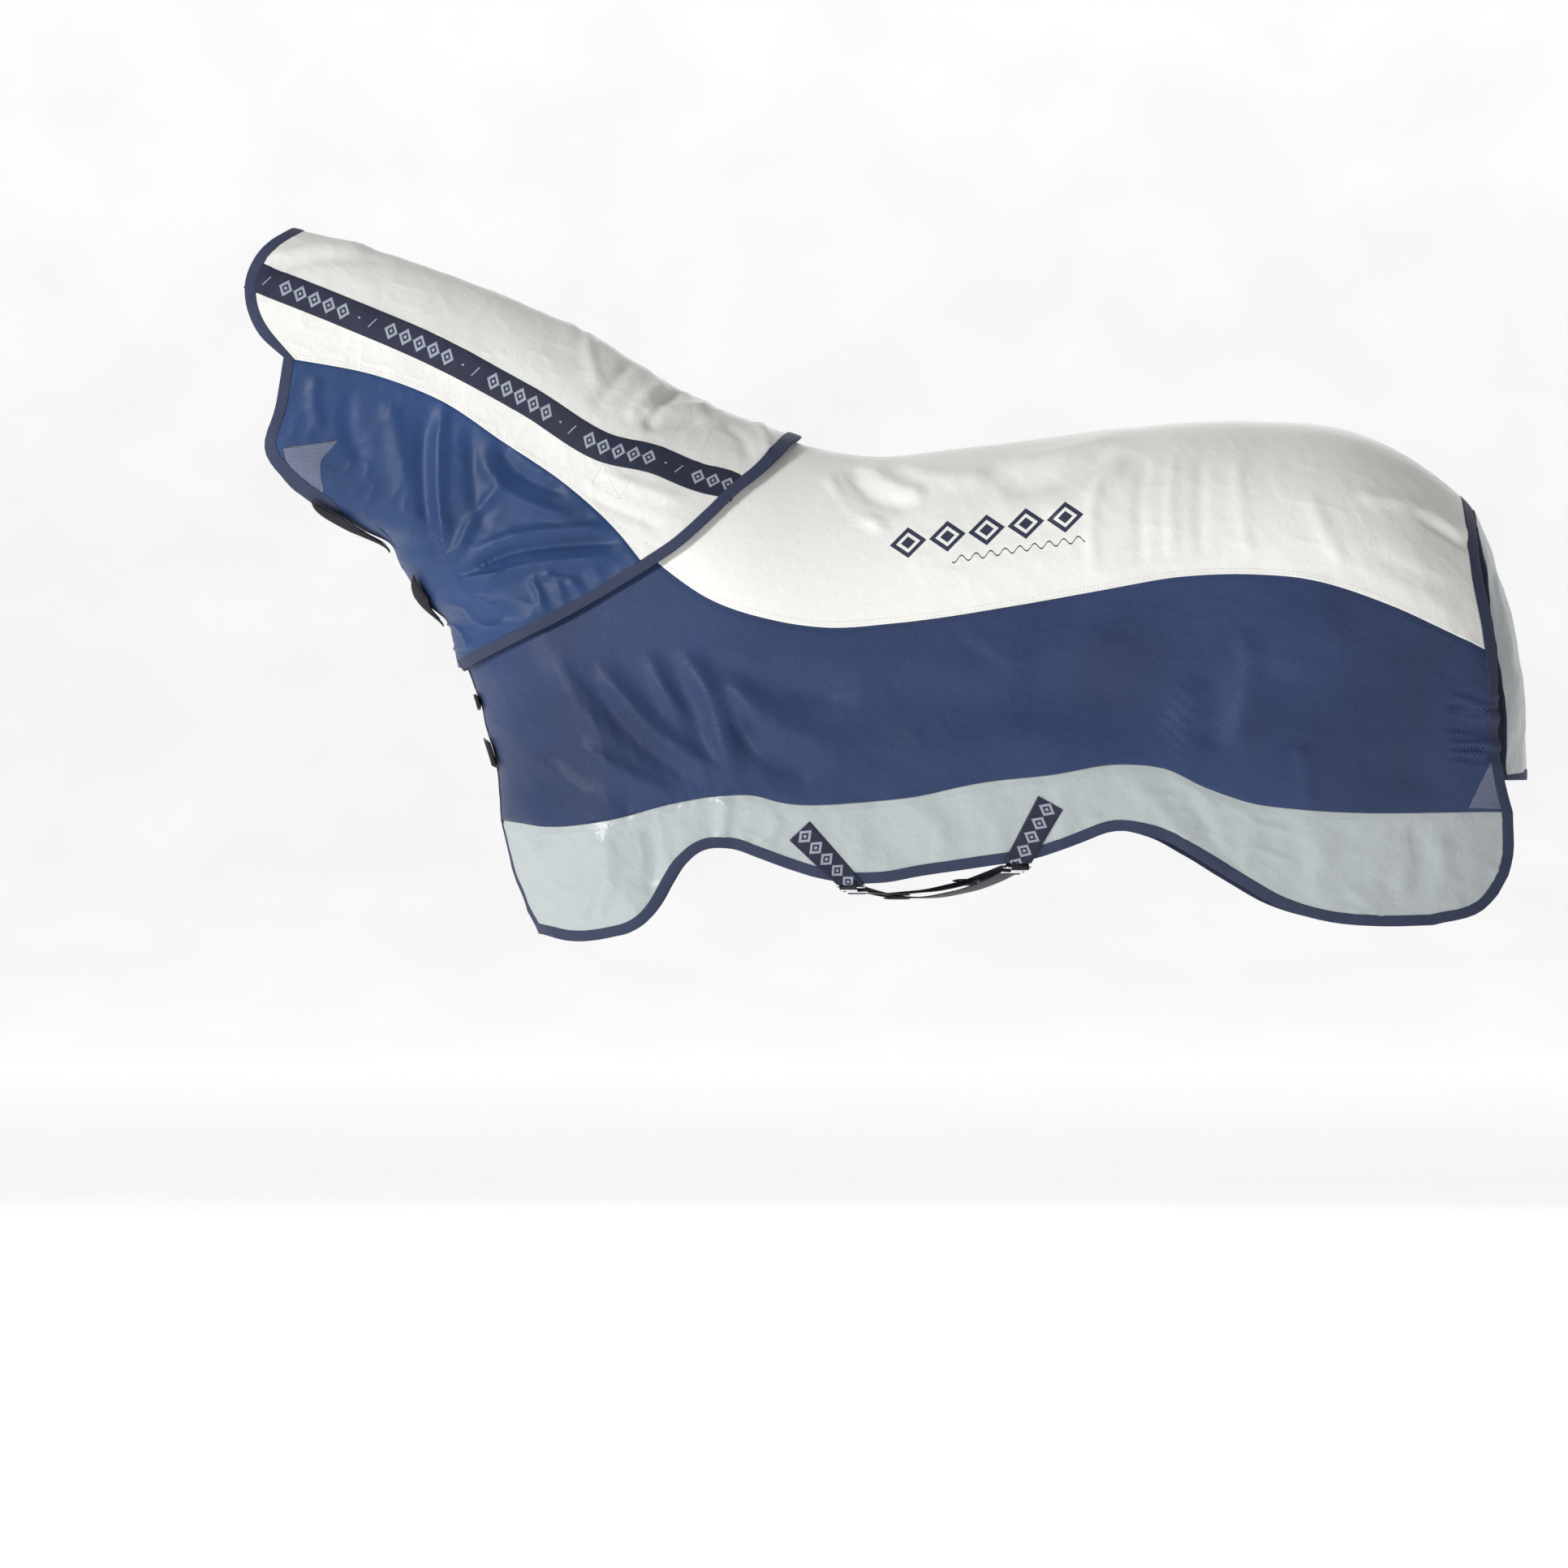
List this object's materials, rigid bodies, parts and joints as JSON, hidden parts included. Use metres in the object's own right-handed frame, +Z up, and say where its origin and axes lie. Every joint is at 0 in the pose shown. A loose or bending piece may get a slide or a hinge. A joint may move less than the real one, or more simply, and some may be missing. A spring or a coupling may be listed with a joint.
{
  "type": "turnout rug with neck cover",
  "caption": "Horse turnout rug with a lift-up neck cover, tail flap, crossed belly straps and hook-and-loop closures, shaped as worn.",
  "frame": {"origin": "the topline at the horse's withers, on the middle plane", "axes": "+X towards the tail, +Z up, so the horse's left side is at -Y"},
  "size_m": [2.3139, 0.6312, 1.2882],
  "materials": {
    "white_cloth": "smooth waterproof woven cloth, soft sheen",
    "navy_mesh": "fine knitted fly mesh",
    "silver_cloth": "coated cloth with a satin sheen",
    "binding": "folded woven edge binding",
    "grey_mesh": "open see-through mesh",
    "elastic": "ribbed elastic",
    "woven_tape": "woven tape with a grey pattern",
    "webbing": "flat webbing",
    "closure_strap": "webbing backed with hook tape",
    "hook_and_loop": "brushed loop tape",
    "plated_steel": "bright plated steel",
    "black_nylon": "moulded nylon"
  },
  "bodies": {
    "rug": {"back_panel": "white_cloth", "left_side_mesh": "navy_mesh", "right_side_mesh": "navy_mesh", "left_lower_panel": "silver_cloth", "right_lower_panel": "silver_cloth", "neckline_binding": "binding", "left_edge_binding": "binding", "right_edge_binding": "binding", "left_rear_vent": "grey_mesh", "right_rear_vent": "grey_mesh", "left_rear_elastic": "elastic", "right_rear_elastic": "elastic", "left_front_tab": "woven_tape", "right_front_tab": "woven_tape", "left_rear_tab": "woven_tape", "right_rear_tab": "woven_tape", "left_front_slot_plate": "plated_steel", "left_rear_slot_plate": "plated_steel", "upper_chest_patch": "hook_and_loop", "lower_chest_patch": "hook_and_loop", "left_wither_loop": "hook_and_loop", "right_wither_loop": "hook_and_loop"},
    "neck_cover": {"neck_top_panel": "white_cloth", "left_neck_tape": "woven_tape", "right_neck_tape": "woven_tape", "left_neck_mesh": "navy_mesh", "right_neck_mesh": "navy_mesh", "neck_front_binding": "binding", "neck_rear_binding": "binding", "left_jaw_vent": "grey_mesh", "right_jaw_vent": "grey_mesh", "left_wither_hook": "hook_and_loop", "right_wither_hook": "hook_and_loop", "upper_throat_patch": "hook_and_loop", "lower_throat_patch": "hook_and_loop"},
    "upper_throat_closure": {"upper_throat_strap": "closure_strap"},
    "lower_throat_closure": {"lower_throat_strap": "closure_strap"},
    "upper_chest_closure": {"upper_chest_strap": "closure_strap"},
    "lower_chest_closure": {"lower_chest_strap": "closure_strap"},
    "tail_cover": {"tail_flap": "silver_cloth", "tail_flap_binding": "binding"},
    "front_belly_strap": {"front_surcingle": "webbing", "front_surcingle_hook": "plated_steel"},
    "rear_belly_strap": {"rear_surcingle": "webbing", "rear_surcingle_hook": "plated_steel"},
    "front_strap_slider": {"front_surcingle_slider": "black_nylon"},
    "rear_strap_slider": {"rear_surcingle_slider": "black_nylon"}
  },
  "joints": [
    {"name": "neck_cover_lift", "type": "hinge", "parent": "rug", "child": "neck_cover", "pos_m": [0, 0, 0], "axis": [0, 1, 0], "range_deg": [0, 25]},
    {"name": "upper_throat_peel", "type": "hinge", "parent": "neck_cover", "child": "upper_throat_closure", "pos_m": [-0.8259, 0.0556, -0.1486], "axis": [0.9285, 0, -0.3714], "range_deg": [0, 95]},
    {"name": "lower_throat_peel", "type": "hinge", "parent": "neck_cover", "child": "lower_throat_closure", "pos_m": [-0.7028, 0.0551, -0.2741], "axis": [0.64, -0.032, -0.7677], "range_deg": [0, 95]},
    {"name": "upper_chest_peel", "type": "hinge", "parent": "rug", "child": "upper_chest_closure", "pos_m": [-0.6018, 0.0417, -0.458], "axis": [0.306, 0, -0.952], "range_deg": [0, 110]},
    {"name": "lower_chest_peel", "type": "hinge", "parent": "rug", "child": "lower_chest_closure", "pos_m": [-0.577, 0.052, -0.5527], "axis": [0.2751, 0, -0.9614], "range_deg": [0, 110]},
    {"name": "tail_flap_lift", "type": "hinge", "parent": "rug", "child": "tail_cover", "pos_m": [1.19, 0, -0.11], "axis": [0, -1, 0], "range_deg": [0, 80]},
    {"name": "front_surcingle_drop", "type": "hinge", "parent": "rug", "child": "front_belly_strap", "pos_m": [0.07, 0.2732, -0.7911], "axis": [0.8824, 0.4705, 0], "range_deg": [0, 80]},
    {"name": "rear_surcingle_drop", "type": "hinge", "parent": "rug", "child": "rear_belly_strap", "pos_m": [0.366, 0.2819, -0.7561], "axis": [0.8824, -0.4705, 0], "range_deg": [0, 60]},
    {"name": "front_slider_travel", "type": "slide", "parent": "front_belly_strap", "child": "front_strap_slider", "axis": [0.4701, -0.8816, -0.0423], "range_m": [-0.025, 0.025]},
    {"name": "rear_slider_travel", "type": "slide", "parent": "rear_belly_strap", "child": "rear_strap_slider", "axis": [-0.4669, -0.8757, -0.1229], "range_m": [-0.025, 0.025]}
  ],
  "couplings": [
    {"joint": "rear_surcingle_drop", "follows": "front_surcingle_drop", "ratio": 0.75}
  ]
}
